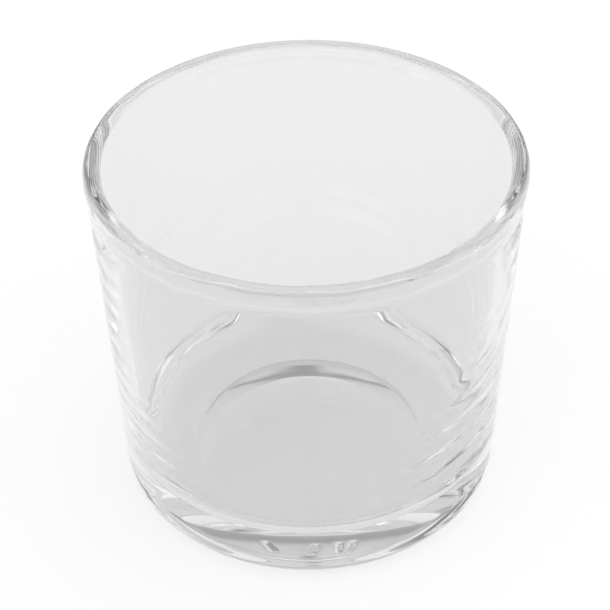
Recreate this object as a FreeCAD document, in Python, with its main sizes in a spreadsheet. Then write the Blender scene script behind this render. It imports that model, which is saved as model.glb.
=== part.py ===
import FreeCAD, Part
import math
import os

import Sketcher
from FreeCAD import Rotation, Vector

# Empty candle jar: one piece of clear pressed glass.
#
# A thick-walled tumbler that widens gently from a rounded heel to a mouth with a
# fire-polished bead.  Its floor is a thick disc with a domed hollow (the punt)
# underneath, so that it stands on a flat ring.  Millimetres, +Z up, origin at the
# centre of the ring that it stands on, -Y towards the front.

# Driving dimensions: alias, value (mm, or a plain count) and what it measures.
SIZES = {
    "jar_height": (72.4, "overall height, from the standing ring to the rim"),
    "rim_radius": (40.0, "outside radius of the beaded rim, the widest place"),
    "wall_top_radius": (39.6, "outside radius of the wall just under the bead"),
    "foot_radius": (36.05, "outside radius of the wall carried down to the bottom"),
    "heel_round": (6.4, "radius of the rounded heel"),
    "bead_depth": (4.8, "height of the bead, from the rim down to the plain wall"),
    "bead_curve": (3.8, "radius of the bead's hollow and of its bulge"),
    "rim_round": (1.15, "rounding of the rim's outer edge"),
    "crest_radius": (38.75, "radius of the rim's highest ring"),
    "lip_curve": (2.5, "radius of the lip that falls from the crest to the mouth"),
    "mouth_round": (0.8, "rounding between the lip and the mouth"),
    "mouth_radius": (36.7, "inside radius of the straight mouth, where a lid plugs in"),
    "mouth_depth": (6.4, "depth from the rim to the foot of the straight mouth"),
    "floor_height": (9.5, "height of the inside floor"),
    "floor_radius": (32.96, "inside radius where the inner wall meets the floor"),
    "floor_round": (7.0, "radius of the round between inside floor and wall"),
    "punt_radius": (23.5, "radius of the hollow under the base"),
    "punt_height": (3.6, "height of the hollow under the base"),
    "mark_relief": (0.3, "how far the mould marks stand out of the hollow"),
    "mark_circle": (20.0, "radius of the circle that the mould marks sit on"),
    "mark_length": (3.6, "length of a mould mark"),
    "mark_width": (0.8, "width of a mould mark"),
}

# Mould marks: plain strokes, by compass angle from the front and slant (degrees).
MARKS = [(-18.0, 36.0), (1.0, -18.0), (12.0, -8.0), (17.0, -28.0)]

# Places in a sketch, as Sketcher numbers them.
ORIGIN = (-1, 1)
START, END, CENTRE = 1, 2, 3


def size(alias):
    """A driving dimension's number, for first guesses that the solver refines."""
    return SIZES[alias][0]


def make_sheet(doc):
    """The spreadsheet that every feature reads its sizes from."""
    sheet = doc.addObject("Spreadsheet::Sheet", "Sizes")
    for row, (alias, (value, meaning)) in enumerate(SIZES.items(), start=1):
        sheet.set(f"A{row}", meaning)
        sheet.set(f"B{row}", str(value))
        sheet.setAlias(f"B{row}", alias)
    return sheet


def origin_feature(body, role):
    """One of the body's own origin planes or axes."""
    return next(item for item in body.Origin.OriginFeatures if item.Role == role)


def half_section(body, name):
    """An empty sketch on the body's XZ plane: x is the radius, y is the height."""
    sketch = body.newObject("Sketcher::SketchObject", name)
    sketch.AttachmentSupport = [(origin_feature(body, "XZ_Plane"), "")]
    sketch.MapMode = "FlatFace"
    return sketch


def line(x1, y1, x2, y2):
    return Part.LineSegment(Vector(x1, y1, 0), Vector(x2, y2, 0))


def arc(x, y, radius, first, last):
    """Anticlockwise arc about (x, y); angles in radians."""
    circle = Part.Circle(Vector(x, y, 0), Vector(0, 0, 1), radius)
    return Part.ArcOfCircle(circle, first, last)


def constrain(sketch, kind, *places):
    sketch.addConstraint(Sketcher.Constraint(kind, *places))


def drive(sketch, alias, kind, *places):
    """Add a dimension to the sketch and bind it to the sheet."""
    index = sketch.addConstraint(Sketcher.Constraint(kind, *places, size(alias)))
    sketch.renameConstraint(index, alias)
    sketch.setExpression(f"Constraints.{alias}", f"Sizes.{alias}")


def spin(body, kind, name, sketch):
    """Turn a half section once about the jar's axis, adding or cutting material."""
    feature = body.newObject(kind, name)
    feature.Profile = sketch
    feature.ReferenceAxis = (sketch, ["V_Axis"])
    feature.Angle = 360.0
    sketch.Visibility = False
    body.Document.recompute()
    return feature


def add_outside(body):
    """The solid outer form: flat base, flared wall, hollow-and-bulge bead, round rim."""
    height, curve, rim_round = size("jar_height"), size("bead_curve"), size("rim_round")
    foot, wall, rim = size("foot_radius"), size("wall_top_radius"), size("rim_radius")
    bead_foot = height - size("bead_depth")
    flare = math.atan2(wall - foot, bead_foot)
    hollow_x = wall + curve * math.cos(flare)
    hollow_y = bead_foot - curve * math.sin(flare)
    bulge_x = rim - curve
    turn = math.acos((bulge_x - hollow_x) / (2 * curve))
    bulge_y = hollow_y + 2 * curve * math.sin(turn)

    sketch = half_section(body, "OutsideSection")
    base, side, hollow, bulge, upright, rounding, top, axis = sketch.addGeometry([
        line(0, 0, foot, 0),
        line(foot, 0, wall, bead_foot),
        arc(hollow_x, hollow_y, curve, turn, math.pi - flare),
        arc(bulge_x, bulge_y, curve, turn - math.pi, 0),
        line(rim, bulge_y, rim, height - rim_round),
        arc(rim - rim_round, height - rim_round, rim_round, 0, math.pi / 2),
        line(rim - rim_round, height, 0, height),
        line(0, height, 0, 0),
    ], False)
    constrain(sketch, "Coincident", base, START, *ORIGIN)
    constrain(sketch, "Coincident", base, END, side, START)
    constrain(sketch, "Tangent", side, END, hollow, END)
    constrain(sketch, "Tangent", hollow, START, bulge, START)
    constrain(sketch, "Tangent", bulge, END, upright, START)
    constrain(sketch, "Tangent", upright, END, rounding, START)
    constrain(sketch, "Tangent", rounding, END, top, START)
    constrain(sketch, "Coincident", top, END, axis, START)
    constrain(sketch, "Coincident", axis, END, base, START)
    constrain(sketch, "Horizontal", base)
    constrain(sketch, "Vertical", upright)
    constrain(sketch, "Horizontal", top)
    constrain(sketch, "Vertical", axis)
    constrain(sketch, "Equal", hollow, bulge)
    drive(sketch, "foot_radius", "DistanceX", *ORIGIN, base, END)
    drive(sketch, "wall_top_radius", "DistanceX", *ORIGIN, side, END)
    drive(sketch, "rim_radius", "DistanceX", *ORIGIN, upright, END)
    drive(sketch, "jar_height", "DistanceY", *ORIGIN, axis, START)
    drive(sketch, "bead_depth", "DistanceY", side, END, top, START)
    drive(sketch, "bead_curve", "Radius", hollow)
    drive(sketch, "rim_round", "Radius", rounding)
    return spin(body, "PartDesign::Revolution", "Outside", sketch)


def lip_foot():
    """Height of the edge where the lip's curve meets the straight mouth."""
    reach = size("crest_radius") - size("mouth_radius")
    drop = size("lip_curve") - math.sqrt(size("lip_curve")**2 - reach**2)
    return size("jar_height") - drop


def cut_cavity(body):
    """The space for the wax: flat floor, flared wall, straight mouth and falling lip."""
    height, mouth, crest = size("jar_height"), size("mouth_radius"), size("crest_radius")
    floor, floor_radius, curve = size("floor_height"), size("floor_radius"), size("lip_curve")
    mouth_foot = height - size("mouth_depth")
    lip_start = math.asin((crest - mouth) / curve)

    sketch = half_section(body, "CavitySection")
    bottom, wall, straight, lip, top, axis = sketch.addGeometry([
        line(0, floor, floor_radius, floor),
        line(floor_radius, floor, mouth, mouth_foot),
        line(mouth, mouth_foot, mouth, lip_foot()),
        arc(crest, height - curve, curve, math.pi / 2, math.pi / 2 + lip_start),
        line(crest, height, 0, height),
        line(0, height, 0, floor),
    ], False)
    constrain(sketch, "Coincident", bottom, END, wall, START)
    constrain(sketch, "Coincident", wall, END, straight, START)
    constrain(sketch, "Coincident", straight, END, lip, END)
    constrain(sketch, "Tangent", lip, START, top, START)
    constrain(sketch, "Coincident", top, END, axis, START)
    constrain(sketch, "Coincident", axis, END, bottom, START)
    constrain(sketch, "PointOnObject", axis, START, -2)
    constrain(sketch, "Horizontal", bottom)
    constrain(sketch, "Vertical", straight)
    constrain(sketch, "Horizontal", top)
    constrain(sketch, "Vertical", axis)
    drive(sketch, "floor_height", "DistanceY", *ORIGIN, bottom, START)
    drive(sketch, "floor_radius", "DistanceX", *ORIGIN, bottom, END)
    drive(sketch, "mouth_radius", "DistanceX", *ORIGIN, straight, END)
    drive(sketch, "mouth_depth", "DistanceY", straight, START, top, START)
    drive(sketch, "crest_radius", "DistanceX", *ORIGIN, top, START)
    drive(sketch, "lip_curve", "Radius", lip)
    drive(sketch, "jar_height", "DistanceY", *ORIGIN, top, START)
    return spin(body, "PartDesign::Groove", "Cavity", sketch)


def dome_section(body, name, height_formula, height):
    """Half section of a shallow dome as wide as the punt, standing on the XY plane."""
    radius = size("punt_radius")
    curve = (radius**2 + height**2) / (2 * height)
    edge_angle = math.atan2(curve - height, radius)

    sketch = half_section(body, name)
    base, dome, axis = sketch.addGeometry([
        line(0, 0, radius, 0),
        arc(0, height - curve, curve, edge_angle, math.pi / 2),
        line(0, height, 0, 0),
    ], False)
    constrain(sketch, "Coincident", base, START, *ORIGIN)
    constrain(sketch, "Coincident", base, END, dome, START)
    constrain(sketch, "Coincident", dome, END, axis, START)
    constrain(sketch, "Coincident", axis, END, base, START)
    constrain(sketch, "Horizontal", base)
    constrain(sketch, "Vertical", axis)
    constrain(sketch, "PointOnObject", dome, CENTRE, -2)
    drive(sketch, "punt_radius", "DistanceX", *ORIGIN, base, END)
    index = sketch.addConstraint(
        Sketcher.Constraint("DistanceY", *ORIGIN, dome, END, height))
    sketch.renameConstraint(index, "dome_height")
    sketch.setExpression("Constraints.dome_height", height_formula)
    return sketch


def cut_punt(body):
    """The domed hollow under the base."""
    sketch = dome_section(body, "PuntSection", "Sizes.punt_height", size("punt_height"))
    return spin(body, "PartDesign::Groove", "Punt", sketch)


def circle_edge(feature, radius, height):
    """Name of the circular edge of that radius at that height."""
    for number, edge in enumerate(feature.Shape.Edges, start=1):
        if edge.Degenerated or not isinstance(edge.Curve, Part.Circle):
            continue
        centre = edge.Curve.Center
        if abs(edge.Curve.Radius - radius) < 1e-3 and abs(centre.z - height) < 1e-3:
            return f"Edge{number}"
    raise RuntimeError(f"no edge of radius {radius} at height {height}")


def round_edge(body, name, alias, radius, height):
    """Round one circular edge of the jar."""
    fillet = body.newObject("PartDesign::Fillet", name)
    fillet.Base = (fillet.BaseFeature, [circle_edge(fillet.BaseFeature, radius, height)])
    fillet.setExpression("Radius", f"Sizes.{alias}")
    body.Document.recompute()
    return fillet


def add_marks(body):
    """Raised mould marks in the punt: bars up into the glass, trimmed to the dome."""
    for number, (azimuth, slant) in enumerate(MARKS, start=1):
        bar = body.newObject("PartDesign::AdditiveBox", f"Mark{number}")
        bar.setExpression("Length", "Sizes.mark_width")
        bar.setExpression("Width", "Sizes.mark_length")
        bar.setExpression("Height", "Sizes.punt_height")
        corner = Vector(-size("mark_width") / 2, -size("mark_length") / 2, 0)
        turn = Rotation(Vector(0, 0, 1), azimuth)
        lean = Rotation(Vector(0, 0, 1), azimuth + slant)
        centre = turn.multVec(Vector(0, -size("mark_circle"), 0))
        bar.Placement = FreeCAD.Placement(centre + lean.multVec(corner), lean)
        body.Document.recompute()
    trimmed = dome_section(body, "MarkReliefSection", "Sizes.punt_height - Sizes.mark_relief",
                           size("punt_height") - size("mark_relief"))
    return spin(body, "PartDesign::Groove", "MarkRelief", trimmed)


def make_jar(doc):
    """The jar as one PartDesign body, in the order a glassmaker would describe it."""
    body = doc.addObject("PartDesign::Body", "GlassJar")
    body.Label = "glass_jar"
    add_outside(body)
    cut_cavity(body)
    cut_punt(body)
    round_edge(body, "Heel", "heel_round", size("foot_radius"), 0)
    round_edge(body, "InnerFoot", "floor_round", size("floor_radius"), size("floor_height"))
    round_edge(body, "Mouth", "mouth_round", size("mouth_radius"), lip_foot())
    add_marks(body)
    return body


def check(doc, subparts):
    """Stop before writing anything if a feature failed or a solid is not sound."""
    failed = [item.Name for item in doc.Objects
              if "Invalid" in item.State or "Error" in item.State]
    if failed:
        raise RuntimeError(f"failed features: {failed}")
    for subpart in subparts:
        shape = subpart.Shape
        if shape.isNull() or not shape.isValid() or len(shape.Solids) != 1:
            raise RuntimeError(f"{subpart.Label} is not one sound solid")


def report(body):
    """Print each feature's volume, which shows that every cut and round took effect."""
    for feature in body.Group:
        if feature.isDerivedFrom("PartDesign::Feature"):
            print(f"{feature.Name:12s} {feature.Shape.Volume / 1000:9.3f} cm3")
    box = body.Shape.optimalBoundingBox(False, False)
    print(f"size {box.XLength:.2f} x {box.YLength:.2f} x {box.ZLength:.2f} mm, bottom {box.ZMin:.2f}")


def main():
    doc = FreeCAD.newDocument("CandleJar")
    make_sheet(doc)
    doc.recompute()
    subparts = [make_jar(doc)]
    doc.recompute()
    check(doc, subparts)
    os.makedirs("parts", exist_ok=True)
    for subpart in subparts:
        report(subpart)
        subpart.Shape.exportStep(f"parts/{subpart.Label}.step")


main()
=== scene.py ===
import math

import bpy
from mathutils import Matrix, Vector


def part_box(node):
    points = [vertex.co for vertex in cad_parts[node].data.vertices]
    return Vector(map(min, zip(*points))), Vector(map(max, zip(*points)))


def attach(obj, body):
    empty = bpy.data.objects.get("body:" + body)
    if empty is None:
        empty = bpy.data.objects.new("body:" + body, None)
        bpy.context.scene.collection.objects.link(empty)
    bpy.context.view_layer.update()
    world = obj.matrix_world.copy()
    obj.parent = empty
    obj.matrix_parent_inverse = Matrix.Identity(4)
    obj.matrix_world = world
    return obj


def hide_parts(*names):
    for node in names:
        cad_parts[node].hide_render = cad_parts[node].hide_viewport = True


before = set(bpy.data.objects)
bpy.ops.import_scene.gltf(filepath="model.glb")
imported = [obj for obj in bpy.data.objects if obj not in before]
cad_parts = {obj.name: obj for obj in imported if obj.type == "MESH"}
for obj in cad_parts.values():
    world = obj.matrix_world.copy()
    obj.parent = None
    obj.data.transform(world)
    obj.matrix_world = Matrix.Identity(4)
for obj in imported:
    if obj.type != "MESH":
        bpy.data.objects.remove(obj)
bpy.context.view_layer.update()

LOW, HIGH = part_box("glass_jar")
MM = 0.001

# The jar's half section in millimetres, radius and height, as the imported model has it.
HEIGHT = HIGH[2] / MM
RIM = HIGH[0] / MM
WALL_TOP = 39.6             # outside of the wall, just under the bead
FOOT = 36.05                # outside of the wall carried down to the bottom
HEEL_ROUND = 6.4
BEAD_DEPTH = 4.8
BEAD_CURVE = 3.8            # radius of the bead's hollow and of its bulge
RIM_ROUND = 1.15
CREST = 38.75               # the rim's highest ring
LIP_CURVE = 2.5
MOUTH_ROUND = 0.8
MOUTH = 36.7                # inside of the straight mouth
MOUTH_DEPTH = 6.4
FLOOR = 9.5                 # height of the inside floor
FLOOR_RADIUS = 32.96
FLOOR_ROUND = 7.0
PUNT = 23.5                 # the hollow under the base
PUNT_HEIGHT = 3.6
PUNT_ROUND = 1.2            # softness of the hollow's edge

SEGMENTS = 360              # facets round the axis
COARSE_RING = 1.6           # step between the rings of points in the middle of the underside
COARSE_RINGS = 10
FINE_RING = 0.26            # and in the belt that holds the mould marks
FINE_RINGS = 29

# Mould marks under the base: compass angle from the front and slant, in degrees.
MARKS = [(-18.0, 36.0), (1.0, -18.0), (12.0, -8.0), (17.0, -28.0)]
MARK_CIRCLE = 20.0
MARK_LENGTH = 3.6
MARK_WIDTH = 0.8
MARK_RELIEF = 0.3
MARK_SOFT = 0.35            # width of a mark's sloping edge


# --- The glass: one half section turned about the axis -------------------------------

def run(start, end, step):
    """Points along a straight line of the section, start left out."""
    count = max(1, round(math.dist(start, end) / step))
    return [(start[0] + (end[0] - start[0]) * i / count,
             start[1] + (end[1] - start[1]) * i / count) for i in range(1, count + 1)]


def bend(centre, radius, first, last, count):
    """Points along an arc of the section, first one left out; angles in radians."""
    points = []
    for i in range(1, count + 1):
        angle = first + (last - first) * i / count
        points.append((centre[0] + radius * math.cos(angle),
                       centre[1] + radius * math.sin(angle)))
    return points


def underside():
    """The hollow under the base, its softened edge and the ring that the jar stands on."""
    curve = (PUNT**2 + PUNT_HEIGHT**2) / (2 * PUNT_HEIGHT)
    points = [(0.0, PUNT_HEIGHT)]
    radii = [COARSE_RING * i for i in range(1, COARSE_RINGS + 1)]
    radii += [COARSE_RING * COARSE_RINGS + FINE_RING * i for i in range(1, FINE_RINGS + 1)]
    radii = [radius for radius in radii if radius < PUNT]
    for radius in radii:
        height = math.sqrt(curve**2 - radius**2) - (curve - PUNT_HEIGHT)
        depth = (PUNT + PUNT_ROUND - radius) / (2 * PUNT_ROUND)
        if depth < 1.0:
            height = max(height, 0.0) * depth
        points.append((radius, height))
    return points


def outside_wall():
    """Heel, flared wall, and the bead's hollow and bulge."""
    bead_foot = HEIGHT - BEAD_DEPTH
    flare = math.atan2(WALL_TOP - FOOT, bead_foot)
    heel_x = FOOT + math.tan(flare) * HEEL_ROUND - HEEL_ROUND / math.cos(flare)
    hollow = (WALL_TOP + BEAD_CURVE * math.cos(flare), bead_foot - BEAD_CURVE * math.sin(flare))
    bulge_x = RIM - BEAD_CURVE
    turn = math.acos((bulge_x - hollow[0]) / (2 * BEAD_CURVE))
    bulge = (bulge_x, hollow[1] + 2 * BEAD_CURVE * math.sin(turn))
    points = run((PUNT, 0.0), (heel_x, 0.0), COARSE_RING)
    points += bend((heel_x, HEEL_ROUND), HEEL_ROUND, -math.pi / 2, -flare, 40)
    points += run(points[-1], (WALL_TOP, bead_foot), 3.5)
    points += bend(hollow, BEAD_CURVE, math.pi - flare, turn, 11)
    points += bend(bulge, BEAD_CURVE, turn - math.pi, 0.0, 11)
    return points


def rim_and_mouth():
    """The rim's outer round, its crest, the falling lip and the straight mouth."""
    edge = (RIM - RIM_ROUND, HEIGHT - RIM_ROUND)
    points = [(RIM, edge[1])]
    points += bend(edge, RIM_ROUND, 0.0, math.pi / 2, 13)
    points.append((CREST, HEIGHT))
    centre = (CREST, HEIGHT - LIP_CURVE)
    inner = (MOUTH + MOUTH_ROUND, 0.0)
    reach = LIP_CURVE - MOUTH_ROUND
    across = inner[0] - centre[0]
    join = math.pi - math.acos(-across / reach)
    points += bend(centre, LIP_CURVE, math.pi / 2, join, 12)
    round_centre = (inner[0], centre[1] + math.sqrt(reach**2 - across**2))
    points += bend(round_centre, MOUTH_ROUND, join, math.pi, 8)
    points += run(points[-1], (MOUTH, HEIGHT - MOUTH_DEPTH), 1.2)
    return points


def inside():
    """The flared inner wall, the round at its foot and the flat floor."""
    top = (MOUTH, HEIGHT - MOUTH_DEPTH)
    flare = math.atan2(MOUTH - FLOOR_RADIUS, top[1] - FLOOR)
    centre_x = FLOOR_RADIUS + math.tan(flare) * FLOOR_ROUND - FLOOR_ROUND / math.cos(flare)
    centre = (centre_x, FLOOR + FLOOR_ROUND)
    foot = (centre_x + FLOOR_ROUND * math.cos(flare), centre[1] - FLOOR_ROUND * math.sin(flare))
    points = run(top, foot, 0.75)
    points += bend(centre, FLOOR_ROUND, -flare, -math.pi / 2, 30)
    points += run(points[-1], (0.0, FLOOR), 2.4)
    return points


def step_up(value):
    """Smooth ramp from 0 to 1 as value goes from 0 to 1."""
    value = min(max(value, 0.0), 1.0)
    return value * value * (3.0 - 2.0 * value)


def mark_relief(x, y):
    """How far the nearest mould mark stands down out of the hollow at a place."""
    relief = 0.0
    for azimuth, slant in MARKS:
        turn = math.radians(azimuth)
        lean = math.radians(azimuth + slant)
        across_x, across_y = x - MARK_CIRCLE * math.sin(turn), y + MARK_CIRCLE * math.cos(turn)
        along = abs(-across_x * math.sin(lean) + across_y * math.cos(lean))
        aside = abs(across_x * math.cos(lean) + across_y * math.sin(lean))
        ends = step_up((MARK_LENGTH / 2 - along) / MARK_SOFT + 0.5)
        sides = step_up((MARK_WIDTH / 2 - aside) / MARK_SOFT + 0.5)
        relief = max(relief, MARK_RELIEF * ends * sides)
    return relief


# Pressing waves in the inner wall: rings that drift up or down round the jar.
WAVES_FROM = 10.5
WAVES = [
    # compass angle, spread (degrees), height, spread, wavelength, rise per radian, depth
    (60.0, 27.0, 21.0, 13.0, 5.2, 3.0, 0.260),
    (76.0, 16.0, 36.0, 12.0, 8.0, 14.0, 0.120),
    (-64.0, 24.0, 19.0, 9.0, 4.2, -2.0, 0.070),
]


def wall_wave(angle, height):
    """How far the inner wall stands out (or, below zero, in) from its true surface."""
    wave = 0.0
    for azimuth, spread, middle, reach, length, rise, depth in WAVES:
        turned = math.remainder(angle - math.radians(azimuth), math.tau)
        near = math.exp(-(turned / math.radians(spread))**2 - ((height - middle) / reach)**2)
        wave += depth * near * math.sin(math.tau * (height - rise * turned) / length)
    return wave


# Fire-polishing leaves the rim slightly uneven: waves round it, phase, lean and depth (mm).
RIM_WAVES = [(9, 0.4, 0.5, 0.050), (17, 2.1, -0.8, 0.040), (31, 4.0, 1.1, 0.022)]
RIM_WAVES_FROM = 66.0
RIM_WAVES_FADE = 3.0        # height over which they build up to their full depth
RIM_WAVES_BACK = 0.25       # share of their depth at the back, where the rim is truer


def rim_wave(angle, height):
    """How far the rim stands in from its true surface at a place."""
    front = 0.5 + 0.5 * math.cos(angle)
    share = RIM_WAVES_BACK + (1.0 - RIM_WAVES_BACK) * front
    share = step_up((height - RIM_WAVES_FROM) / RIM_WAVES_FADE) * share
    return share * sum(depth * (1.0 + math.sin(count * angle + phase + lean * height))
                       for count, phase, lean, depth in RIM_WAVES)


def make_glass():
    """The jar as one closed mesh, with its marks and waves in the surface itself."""
    parts = {"underside": underside(), "outside": outside_wall(),
             "mouth": rim_and_mouth(), "inside": inside()}
    verts, rows = [], []
    for part, points in parts.items():
        for radius, height in points:
            if radius < 1e-6:
                rows.append([len(verts)])
                verts.append((0.0, 0.0, height * MM))
                continue
            rows.append(list(range(len(verts), len(verts) + SEGMENTS)))
            for k in range(SEGMENTS):
                angle = math.tau * k / SEGMENTS     # from the front, towards +X
                r, z = radius, height
                if part == "inside" and height > WAVES_FROM:
                    r += wall_wave(angle, height)
                if height > RIM_WAVES_FROM:
                    r -= rim_wave(angle, height)
                x, y = r * math.sin(angle), -r * math.cos(angle)
                if part == "underside" and abs(radius - MARK_CIRCLE) < MARK_LENGTH:
                    z = max(z - mark_relief(x, y), 0.0)
                verts.append((x * MM, y * MM, z * MM))
    faces = []
    for lower, upper in zip(rows, rows[1:]):
        for k in range(SEGMENTS):
            after = (k + 1) % SEGMENTS
            if len(lower) == 1:
                faces.append((lower[0], upper[after], upper[k]))
            elif len(upper) == 1:
                faces.append((lower[k], lower[after], upper[0]))
            else:
                faces.append((lower[k], lower[after], upper[after], upper[k]))
    mesh = bpy.data.meshes.new("jar_glass")
    mesh.from_pydata(verts, [], faces)
    mesh.update()
    mesh.polygons.foreach_set("use_smooth", [True] * len(faces))
    piece = bpy.data.objects.new("jar_glass", mesh)
    bpy.context.scene.collection.objects.link(piece)
    return piece


def glass_material():
    """Clear soda-lime glass with the faint unevenness of a pressed surface."""
    material = bpy.data.materials.new("clear_glass")
    material.use_nodes = True
    nodes, links = material.node_tree.nodes, material.node_tree.links
    shader = nodes["Principled BSDF"]
    shader.inputs["Base Color"].default_value = (0.850, 0.851, 0.849, 1.0)
    shader.inputs["Transmission Weight"].default_value = 1.0
    shader.inputs["Roughness"].default_value = 0.0
    shader.inputs["IOR"].default_value = 1.5
    place = nodes.new("ShaderNodeTexCoord")
    uneven = nodes.new("ShaderNodeTexNoise")
    uneven.inputs["Scale"].default_value = 90.0
    uneven.inputs["Detail"].default_value = 1.0
    bump = nodes.new("ShaderNodeBump")
    bump.inputs["Strength"].default_value = 1.0
    bump.inputs["Distance"].default_value = 0.00002
    links.new(place.outputs["Object"], uneven.inputs["Vector"])
    links.new(uneven.outputs["Fac"], bump.inputs["Height"])
    links.new(bump.outputs["Normal"], shader.inputs["Normal"])
    return material


# --- Floor, camera and light ---------------------------------------------------------

FLOOR_SIZE = 4.0
FLOOR_DROP = 0.00005        # keeps the floor and the standing ring apart
FLOOR_GREY = 0.42
FLOOR_GLOW = 0.72           # a lit table: evens out the light from below

CAMERA_TILT = 0.6768        # radians above the horizontal
CAMERA_ROLL = 0.0135
CAMERA_DISTANCE = 0.37498
CAMERA_ASIDE = -0.00055
CAMERA_ABOVE = 0.00131
CAMERA_LENS = 116.47


def make_floor():
    half = FLOOR_SIZE / 2
    mesh = bpy.data.meshes.new("floor")
    mesh.from_pydata([(-half, -half, -FLOOR_DROP), (half, -half, -FLOOR_DROP),
                      (half, half, -FLOOR_DROP), (-half, half, -FLOOR_DROP)], [], [(0, 1, 2, 3)])
    mesh.update()
    material = bpy.data.materials.new("pale_floor")
    material.use_nodes = True
    shader = material.node_tree.nodes["Principled BSDF"]
    shader.inputs["Base Color"].default_value = (FLOOR_GREY, FLOOR_GREY, FLOOR_GREY, 1.0)
    shader.inputs["Roughness"].default_value = 0.9
    shader.inputs["Specular IOR Level"].default_value = 0.1
    shader.inputs["Emission Color"].default_value = (1.0, 1.0, 1.0, 1.0)
    shader.inputs["Emission Strength"].default_value = FLOOR_GLOW
    mesh.materials.append(material)
    floor = bpy.data.objects.new("floor", mesh)
    bpy.context.scene.collection.objects.link(floor)
    return floor


def make_camera():
    """A long lens in front of the jar, looking down at its middle."""
    back = Vector((0.0, -math.cos(CAMERA_TILT), math.sin(CAMERA_TILT)))
    right = Vector((1.0, 0.0, 0.0))
    up = back.cross(right)
    place = back * CAMERA_DISTANCE + right * CAMERA_ASIDE + up * CAMERA_ABOVE
    place.z += (LOW[2] + HIGH[2]) / 2
    across = right * math.cos(CAMERA_ROLL) - up * math.sin(CAMERA_ROLL)
    upright = right * math.sin(CAMERA_ROLL) + up * math.cos(CAMERA_ROLL)
    lens = bpy.data.cameras.new("camera")
    lens.sensor_width = 36.0
    lens.lens = CAMERA_LENS
    lens.clip_start = 0.01
    lens.clip_end = 50.0
    camera = bpy.data.objects.new("camera", lens)
    bpy.context.scene.collection.objects.link(camera)
    turn = Matrix((across, upright, back)).transposed().to_4x4()
    camera.matrix_world = Matrix.Translation(place) @ turn
    bpy.context.scene.camera = camera


GUIDED_BOUNCES = 64         # light runs down inside the wall before it gets out

# The room as the glass sees it, by compass angle (0 at the back) and elevation in degrees.
ROOM_LOW = 0.64             # brightness at the horizon
ROOM_HIGH = 0.74            # and overhead
# Soft-edged patches: azimuth, half width, elevation, half height, softness, brightness
PATCHES = {
    "low back wall": (0.0, 14.0, 16.0, 10.0, 4.0, 0.36),
    "dark doorway on the left": (-66.0, 17.0, 26.0, 22.0, 5.0, 0.10),
    "dark screen at the back left": (-38.0, 22.0, 32.0, 23.0, 6.0, 0.20),
    "tall window at the back left": (-30.0, 3.0, 14.0, 10.0, 2.0, 1.6),
    "bright window on the right": (103.0, 16.0, 42.0, 8.0, 5.0, 1.25),
    "dim corner left of the camera": (-147.0, 30.0, 13.0, 15.0, 5.0, 0.03),
    "dim corner right of the camera": (147.0, 30.0, 13.0, 15.0, 5.0, 0.04),
    "door edge left": (-139.0, 1.6, 17.0, 14.0, 1.2, 0.9),
    "door edge right": (141.0, 1.6, 17.0, 14.0, 1.2, 0.9),
    "panel high at the back": (-0.5, 1.6, 57.0, 8.0, 1.2, 0.36),
    "softbox above on the left": (-148.0, 24.0, 48.0, 10.0, 4.0, 1.7),
    "softbox above on the right": (148.0, 24.0, 46.0, 10.0, 4.0, 1.4),
    "left window": (-118.0, 5.0, 14.0, 7.0, 2.0, 2.4),
    "right window": (118.0, 4.0, 16.0, 6.0, 2.0, 1.8),
}


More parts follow.
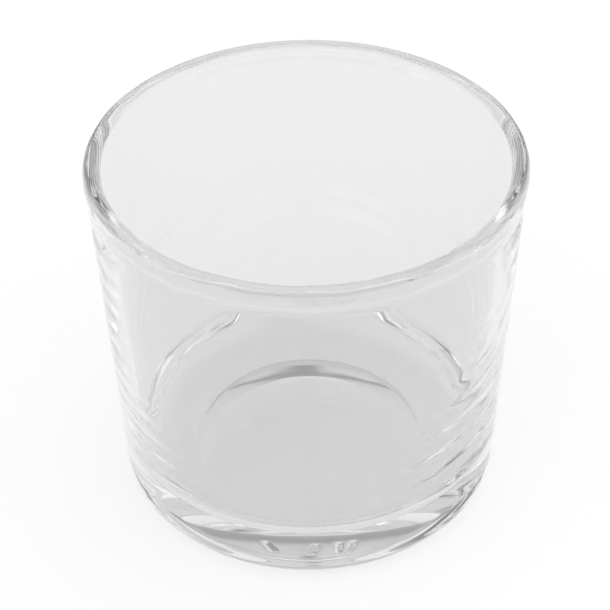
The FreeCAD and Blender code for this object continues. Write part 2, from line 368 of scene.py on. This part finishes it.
class Room:
    """World shader nodes that work in the direction that the glass looks."""

    def __init__(self):
        world = bpy.data.worlds.new("studio")
        world.use_nodes = True
        bpy.context.scene.world = world
        self.nodes, self.links = world.node_tree.nodes, world.node_tree.links
        place = self.nodes.new("ShaderNodeTexCoord")
        split = self.nodes.new("ShaderNodeSeparateXYZ")
        self.links.new(place.outputs["Generated"], split.inputs["Vector"])
        x, y, z = split.outputs
        self.elevation = self.math("ARCSINE", z)
        self.azimuth = self.math("ARCTAN2", x, y)

    def math(self, operation, *values):
        node = self.nodes.new("ShaderNodeMath")
        node.operation = operation
        for socket, value in zip(node.inputs, values):
            if isinstance(value, float):
                socket.default_value = value
            else:
                self.links.new(value, socket)
        return node.outputs["Value"]

    def ramp(self, value, first, last, start, end):
        """Smooth change from start to end as value goes from first to last degrees."""
        node = self.nodes.new("ShaderNodeMapRange")
        node.interpolation_type = "SMOOTHSTEP"
        self.links.new(value, node.inputs["Value"])
        node.inputs["From Min"].default_value = math.radians(first)
        node.inputs["From Max"].default_value = math.radians(last)
        node.inputs["To Min"].default_value = start
        node.inputs["To Max"].default_value = end
        return node.outputs["Result"]

    def patch(self, light, azimuth, half_width, elevation, half_height, soft, level):
        """light, taken to level inside a soft-edged patch of the room."""
        aside = self.math("ABSOLUTE", self.math("SUBTRACT", self.azimuth, math.radians(azimuth)))
        above = self.math("ABSOLUTE",
                          self.math("SUBTRACT", self.elevation, math.radians(elevation)))
        inside = self.math("MULTIPLY",
                           self.ramp(aside, half_width - soft, half_width + soft, 1.0, 0.0),
                           self.ramp(above, half_height - soft, half_height + soft, 1.0, 0.0))
        return self.blend(light, inside, level)

    def blend(self, light, share, level):
        kept = self.math("MULTIPLY", light, self.math("SUBTRACT", 1.0, share))
        return self.math("ADD", kept, self.math("MULTIPLY", share, level))

    def show(self, light):
        colour = self.nodes.new("ShaderNodeCombineXYZ")
        for socket in colour.inputs:
            self.links.new(light, socket)
        background = self.nodes["Background"]
        self.links.new(colour.outputs["Vector"], background.inputs["Color"])
        background.inputs["Strength"].default_value = 1.0


def light_room():
    """Soft light from all round, with a few darker and brighter things in it."""
    room = Room()
    light = room.ramp(room.elevation, 0.0, 60.0, ROOM_LOW, ROOM_HIGH)
    for place in PATCHES.values():
        light = room.patch(light, *place)
    room.show(light)


glass = make_glass()
glass.data.materials.append(glass_material())
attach(glass, "root")
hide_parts("glass_jar")
make_floor()
make_camera()
light_room()

scene = bpy.context.scene
scene.view_settings.view_transform = "Standard"
scene.cycles.max_bounces = GUIDED_BOUNCES
scene.cycles.transmission_bounces = GUIDED_BOUNCES
scene.cycles.glossy_bounces = GUIDED_BOUNCES
